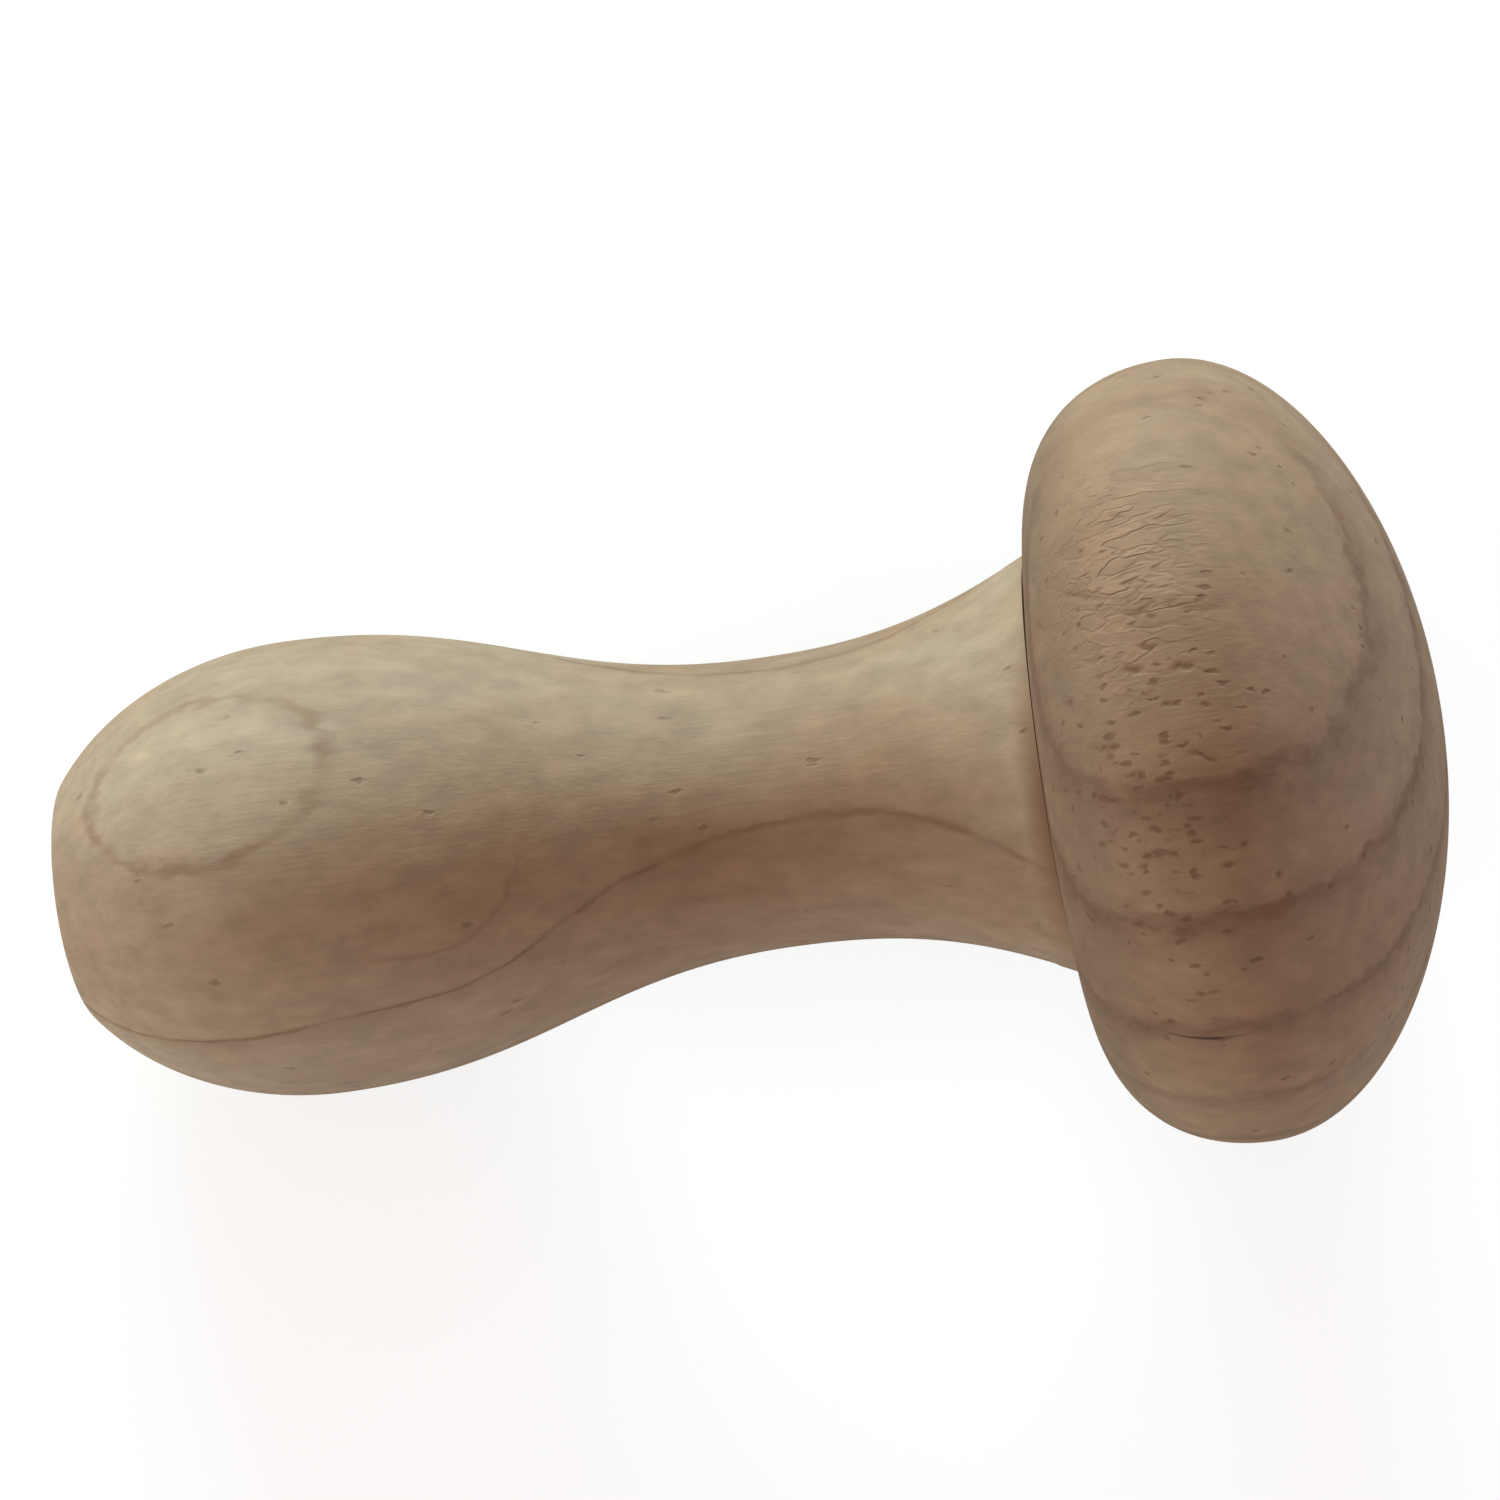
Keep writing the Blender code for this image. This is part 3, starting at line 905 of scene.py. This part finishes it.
def open_pores(group, given, out):
    """Open pores: short dark dashes along the grain on the sides, dots on the end grain."""
    position = given["Position"]
    ripple = add(group, "TexNoise", {"Vector": position, "Scale": 0.8, "Detail": 1.0})
    bend = add(group, "VectorMath", operation="MULTIPLY_ADD")
    feed(group, bend.inputs[0], ripple.outputs["Color"])
    bend.inputs[1].default_value = (0.9,) * 3
    feed(group, bend.inputs[2], position)
    place = stretched(group, bend.outputs["Vector"], 0.92, 2.3)
    cells = add(group, "TexVoronoi", {"Vector": place, "Scale": 1.0}).outputs
    thin = noise_value(group, stretched(group, position, 0.5, 1.2), detail=2.0)
    reach = calc(group, "MULTIPLY", given["Size"], calc(group, "MULTIPLY_ADD", thin, 1.2, 0.3))
    inside = hump(group, cells["Distance"], reach, top=0.7)
    chance = add(group, "TexWhiteNoise", {"Vector": cells["Position"]})
    kept = calc(group, "LESS_THAN", chance.outputs["Value"], given["Amount"])
    feed(group, out["Pores"], calc(group, "MULTIPLY", inside, kept))


def torn_grain(group, given, out):
    """Fine meandering folds along the grain, where the cutter tore it, and the raised lip beside
    each, which the wood also paints lighter as a painted highlight.
    """
    place = stretched(group, given["Position"], 1.6, 5.0)
    off = calc(group, "SUBTRACT", noise_value(group, place, detail=2.0), 0.5)
    feed(group, out["Folds"], hump(group, calc(group, "ABSOLUTE", off), 0.065))
    beside = calc(group, "ABSOLUTE", calc(group, "SUBTRACT", off, 0.09))
    feed(group, out["Lips And Highlight"], hump(group, beside, 0.075))


EFFECTS = {
    "Growth Rings": (
        growth_rings,
        ("Ring", "Clearness", "Position", "Line Width", "Wobble", "Breaks"),
        ("Line", "Late Wood"),
    ),
    "Wood Fibre": (wood_fibre, ("Position",), tuple(FIBRE_SIZES)),
    "Open Pores": (open_pores, ("Position", "Amount", "Size"), ("Pores",)),
    "Torn Grain": (torn_grain, ("Position",), ("Folds", "Lips And Highlight")),
}


# ---------------- materials


def in_the_wood(tree, seed):
    """Position in millimetres in the lathe frame, moved by a seed so that no two pieces match."""
    place = add(tree, "TexCoord").outputs["Object"]
    on_axis = add(tree, "Mapping", {"Vector": place}, vector_type="TEXTURE")
    on_axis.inputs["Location"].default_value = BUTT_CENTRE
    on_axis.inputs["Rotation"].default_value = AXIS_TURN
    scaled = add(tree, "VectorMath", operation="MULTIPLY_ADD")
    feed(tree, scaled.inputs[0], on_axis.outputs["Vector"])
    scaled.inputs[1].default_value = (1 / MM,) * 3
    scaled.inputs[2].default_value = (seed,) * 3
    return scaled.outputs["Vector"]


def attribute(tree, name):
    return add(tree, "Attribute", attribute_name=name).outputs["Fac"]


def new_material(name):
    material = bpy.data.materials.new(name)
    material.use_nodes = True
    return material, material.node_tree, material.node_tree.nodes["Principled BSDF"]


def opaque(colour):
    return (*colour, 1.0)


def grey(tree, value):
    made = add(tree, "CombineColor", {"Red": value, "Green": value, "Blue": value})
    return made.outputs["Color"]


def crack_line(tree):
    """A hairline crack, darkest at its middle."""
    off = calc(tree, "ABSOLUTE", attribute(tree, "crack_off"))
    from_middle = calc(tree, "SUBTRACT", attribute(tree, "crack_along"), 0.45)
    open_share = ramp(tree, calc(tree, "ABSOLUTE", from_middle), 0.58, 0.0)
    width = calc(tree, "MULTIPLY_ADD", open_share, 0.15, 0.08)
    depth = calc(tree, "POWER", open_share, 1.3)
    return calc(tree, "MULTIPLY", hump(tree, off, width, top=0.8), depth)


PORE_SIZE = 0.47
MOTTLING = {"Streaks": 0.12, "Fibres": 0.14, "Patches": 0.26, "Blotches": 0.62}
END_GRAIN_AND_SHADE_DARKNESS = 0.28
GLUE_AND_SHADE_SHARE = 0.95
CRACK_SHARE = 0.85
CRACK_SHADE = (0.06, 0.032, 0.018)
RELIEF = 0.00004  # height of one unit of the surface's fine relief (m)


def turned_wood(name, finish, seed):
    """Bare turned wood, whose ring lines, warmth and marks the mesh's own values place."""
    material, tree, shader = new_material(name)
    position = in_the_wood(tree, seed)
    rings = use(
        tree,
        "Growth Rings",
        {
            "Ring": attribute(tree, "ring"),
            "Clearness": attribute(tree, "clearness"),
            "Position": position,
            "Line Width": finish.line_width,
            "Wobble": finish.line_wobble,
            "Breaks": finish.line_breaks,
        },
    )
    fibre = use(tree, "Wood Fibre", {"Position": position})
    pore_inputs = {"Position": position, "Amount": attribute(tree, "open_grain"), "Size": PORE_SIZE}
    pores = use(tree, "Open Pores", pore_inputs)["Pores"]
    torn = use(tree, "Torn Grain", {"Position": position})
    torn_share = attribute(tree, "torn_grain")
    folds = calc(tree, "MULTIPLY", torn["Folds"], torn_share)
    lips_and_highlight = calc(tree, "MULTIPLY", torn["Lips And Highlight"], torn_share)
    crack = crack_line(tree)

    uneven = calc(tree, "SUBTRACT", fibre["Patches"], 0.5)
    warmth = calc(tree, "ADD", attribute(tree, "warmth"), uneven, clamp=True)
    colour = mix(tree, warmth, opaque(finish.pale), opaque(finish.warm))
    value = calc(tree, "MULTIPLY_ADD", rings["Late Wood"], -finish.late_wood, 1.0)
    for title, amount in MOTTLING.items():
        part = calc(tree, "MULTIPLY_ADD", fibre[title], amount, 1 - amount / 2)
        value = calc(tree, "MULTIPLY", value, part)
    # Painted highlight: the raised lip beside each torn fold is drawn lighter
    value = calc(tree, "MULTIPLY", value, calc(tree, "MULTIPLY_ADD", lips_and_highlight, 0.10, 1.0))
    # Painted shade on the head's underside, which faces the handle, along with its end grain
    end_grain = ramp(tree, attribute(tree, "end_grain"), 0.25, 0.9)
    dull = calc(tree, "MULTIPLY_ADD", end_grain, -END_GRAIN_AND_SHADE_DARKNESS, 1.0)
    colour = mix(tree, 1.0, colour, grey(tree, calc(tree, "MULTIPLY", value, dull)), "MULTIPLY")
    dirt = calc(tree, "MULTIPLY", pores, finish.pore_strength)
    for mark, amount in ((attribute(tree, "pit"), 0.5), (folds, 0.18)):
        dirt = calc(tree, "MAXIMUM", dirt, calc(tree, "MULTIPLY", mark, amount))
    # Glue stain and painted shade along the seam, in the ring line's colour
    glue_and_shade = calc(tree, "MULTIPLY", attribute(tree, "seam"), GLUE_AND_SHADE_SHARE)
    for mask, shade in (
        (calc(tree, "MULTIPLY", rings["Line"], finish.line_strength), finish.line),
        (glue_and_shade, finish.line),
        (dirt, finish.grime),
        (calc(tree, "MULTIPLY", crack, CRACK_SHARE), CRACK_SHADE),
    ):
        colour = mix(tree, mask, colour, opaque(shade))
    feed(tree, shader.inputs["Base Color"], colour)

    rough = calc(tree, "MULTIPLY_ADD", fibre["Fibres"], 0.12, finish.roughness - 0.06)
    feed(tree, shader.inputs["Roughness"], rough)
    shader.inputs["Specular IOR Level"].default_value = 0.35

    relief = fibre["Fibres"]
    for height, amount in (
        (fibre["Blotches"], 1.2),
        (pores, -1.5),
        (folds, -1.6),
        (lips_and_highlight, 1.3),
        (crack, -2.0),
        (rings["Line"], -0.6),
    ):
        relief = calc(tree, "MULTIPLY_ADD", height, amount, relief)
    bump = add(tree, "Bump", {"Height": relief, "Strength": 1.0, "Distance": RELIEF})
    feed(tree, shader.inputs["Normal"], bump.outputs["Normal"])
    return material


def sawn_wood():
    """The wedge: straight-grained darker wood, left off the saw."""
    material, tree, shader = new_material("wedge_wood")
    fibre = use(tree, "Wood Fibre", {"Position": in_the_wood(tree, seed=90.0)})
    colour = mix(tree, fibre["Streaks"], (0.24, 0.14, 0.075, 1), (0.36, 0.22, 0.13, 1))
    feed(tree, shader.inputs["Base Color"], colour)
    shader.inputs["Roughness"].default_value = 0.8
    relief = {"Height": fibre["Fibres"], "Strength": 0.8, "Distance": 0.0001}
    bump = add(tree, "Bump", relief)
    feed(tree, shader.inputs["Normal"], bump.outputs["Normal"])
    return material


def set_glue():
    """Dried wood glue: dark amber, uneven."""
    material, tree, shader = new_material("set_glue")
    position = in_the_wood(tree, seed=20.0)
    patches = noise_value(tree, stretched(tree, position, 1.2, 1.2), detail=3.0)
    colour = mix(tree, patches, (0.17, 0.105, 0.058, 1), (0.36, 0.245, 0.15, 1))
    feed(tree, shader.inputs["Base Color"], colour)
    feed(tree, shader.inputs["Roughness"], calc(tree, "MULTIPLY_ADD", patches, 0.3, 0.35))
    return material


# ---------------- stage

FLOOR_REACH = 3.0
FLOOR_GLOW = (0.94, 0.975, 1.0, 1.0)  # keeps the paper near white, and lights nothing
FLOOR_GLOW_STRENGTH = 0.66
BACKDROP = (0.9, 0.9, 0.9)
SOFT_BOX_WIDTH = 0.5


def aimed(place, aim, roll):
    """A matrix that looks from a place at a point, with the picture turned by a roll."""
    back = (place - aim).normalized()
    right = Vector((math.cos(roll), -math.sin(roll), 0))
    right = (right - right.dot(back) * back).normalized()
    up = back.cross(right)
    return Matrix.Translation(place) @ Matrix((right, up, back)).transposed().to_4x4()


def make_camera(settings):
    data = bpy.data.cameras.new("camera")
    data.angle = settings.camera_width
    camera = new_object("camera", data)
    place, aim = Vector(settings.camera_place), Vector(settings.camera_aim)
    camera.matrix_world = aimed(place, aim, settings.camera_roll)
    bpy.context.scene.camera = camera


def make_floor(settings):
    corners = [(x * FLOOR_REACH, y * FLOOR_REACH, 0) for x, y in SQUARE]
    floor = new_object("floor", new_mesh("floor", corners, [(0, 1, 2, 3)]))
    material, tree, shader = new_material("floor_paper")
    place = add(tree, "TexCoord").outputs["Object"]
    cloud = noise_value(tree, place, scale=9.0)
    tone = ramp(tree, cloud, 0.3, 0.7, 0.985, 1.0)
    colour = mix(tree, 1.0, opaque(settings.floor), grey(tree, tone), "MULTIPLY")
    feed(tree, shader.inputs["Base Color"], colour)
    shader.inputs["Roughness"].default_value = 0.9
    shader.inputs["Specular IOR Level"].default_value = 0.1
    seen = add(tree, "LightPath").outputs["Is Camera Ray"]
    shader.inputs["Emission Color"].default_value = FLOOR_GLOW
    glow = calc(tree, "MULTIPLY", seen, FLOOR_GLOW_STRENGTH)
    feed(tree, shader.inputs["Emission Strength"], glow)
    floor.data.materials.append(material)


def soft_box(name, azimuth, height, power, colour):
    """A soft light that stands on the floor a metre away; azimuth 0 is +X and 90 degrees is +Y."""
    data = bpy.data.lights.new(name, "AREA")
    data.shape = "RECTANGLE"
    data.size = SOFT_BOX_WIDTH
    data.size_y = height
    data.energy = power
    data.color = colour
    light = new_object(name, data)
    away = Vector((math.cos(math.radians(azimuth)), math.sin(math.radians(azimuth)), 0))
    light.location = away + Vector((0, 0, height / 2))
    light.rotation_euler = away.to_track_quat("Z", "Y").to_euler()


def make_lights(settings):
    soft_box("key_light", 90, 0.33, settings.key_power, settings.key_colour)
    soft_box("side_light", 180, 0.33, settings.side_power, (0.92, 1.0, 0.97))
    soft_box("end_light", 0, 0.45, settings.end_power, (0.60, 0.84, 1.0))
    soft_box("low_light", 270, 0.38, settings.low_power, (0.85, 0.96, 1.0))
    world = bpy.data.worlds.new("studio")
    bpy.context.scene.world = world
    world.use_nodes = True
    tree = world.node_tree
    background = tree.nodes["Background"].inputs
    seen = add(tree, "LightPath").outputs["Is Camera Ray"]
    fill, strength = opaque(settings.fill_colour), settings.fill_strength
    feed(tree, background["Color"], mix(tree, seen, fill, opaque(BACKDROP)))
    feed(tree, background["Strength"], calc(tree, "MULTIPLY_ADD", seen, 1 - strength, strength))


def make_stage(settings):
    make_floor(settings)
    make_camera(settings)
    make_lights(settings)
    bpy.context.scene.view_settings.view_transform = "Standard"


# ---------------- operators and panel


class MALLET_OT_make_handle(bpy.types.Operator):
    """Turn the handle, with its swell, waist, flare and slotted tenon"""

    bl_idname = "mallet.make_handle"
    bl_label = "Handle"

    def execute(self, context):
        make_handle(context.scene.mallet_handle, context.scene.mallet_handle_wood)
        return {"FINISHED"}


class MALLET_OT_make_head(bpy.types.Operator):
    """Turn the mushroom head, bored for the tenon"""

    bl_idname = "mallet.make_head"
    bl_label = "Head"

    def execute(self, context):
        scene = context.scene
        make_head(scene.mallet_head, scene.mallet_head_wood, scene.mallet_handle)
        return {"FINISHED"}


class MALLET_OT_make_joint(bpy.types.Operator):
    """Fill the seam and socket with set glue, and finish the wedge"""

    bl_idname = "mallet.make_joint"
    bl_label = "Glue And Wedge"

    def execute(self, context):
        make_joint(context.scene.mallet_handle)
        return {"FINISHED"}


class MALLET_OT_make_stage(bpy.types.Operator):
    """Lay the floor, and set the camera and the lights"""

    bl_idname = "mallet.make_stage"
    bl_label = "Stage"

    def execute(self, context):
        make_stage(context.scene.mallet_stage)
        return {"FINISHED"}


class MALLET_PT_workshop(bpy.types.Panel):
    """Lists the mallet's pieces and their settings"""

    bl_label = "Turned Mallet"
    bl_space_type = "VIEW_3D"
    bl_region_type = "UI"
    bl_category = "Mallet"

    def draw(self, context):
        for operator, settings in PANEL_ROWS:
            box = self.layout.box()
            box.operator(operator)
            for name in settings:
                group = getattr(context.scene, name)
                for key in group.bl_rna.properties.keys():
                    if key not in ("rna_type", "name"):
                        box.prop(group, key)


PANEL_ROWS = (
    ("mallet.make_handle", ("mallet_handle", "mallet_handle_wood")),
    ("mallet.make_head", ("mallet_head", "mallet_head_wood")),
    ("mallet.make_joint", ()),
    ("mallet.make_stage", ("mallet_stage",)),
)
SETTINGS = {
    "mallet_handle": MalletHandleSizes,
    "mallet_head": MalletHeadSizes,
    "mallet_handle_wood": MalletHandleWood,
    "mallet_head_wood": MalletHeadWood,
    "mallet_stage": MalletStageSettings,
}
CLASSES = (
    *SETTINGS.values(),
    MALLET_OT_make_handle,
    MALLET_OT_make_head,
    MALLET_OT_make_joint,
    MALLET_OT_make_stage,
    MALLET_PT_workshop,
)


def register():
    for cls in CLASSES:
        bpy.utils.register_class(cls)
    for name, group in SETTINGS.items():
        setattr(bpy.types.Scene, name, bpy.props.PointerProperty(type=group))


def unregister():
    for name in SETTINGS:
        delattr(bpy.types.Scene, name)
    for cls in reversed(CLASSES):
        bpy.utils.unregister_class(cls)


def main():
    register()
    bpy.ops.mallet.make_handle()
    bpy.ops.mallet.make_head()
    bpy.ops.mallet.make_joint()
    bpy.ops.mallet.make_stage()


if __name__ == "__main__":
    main()
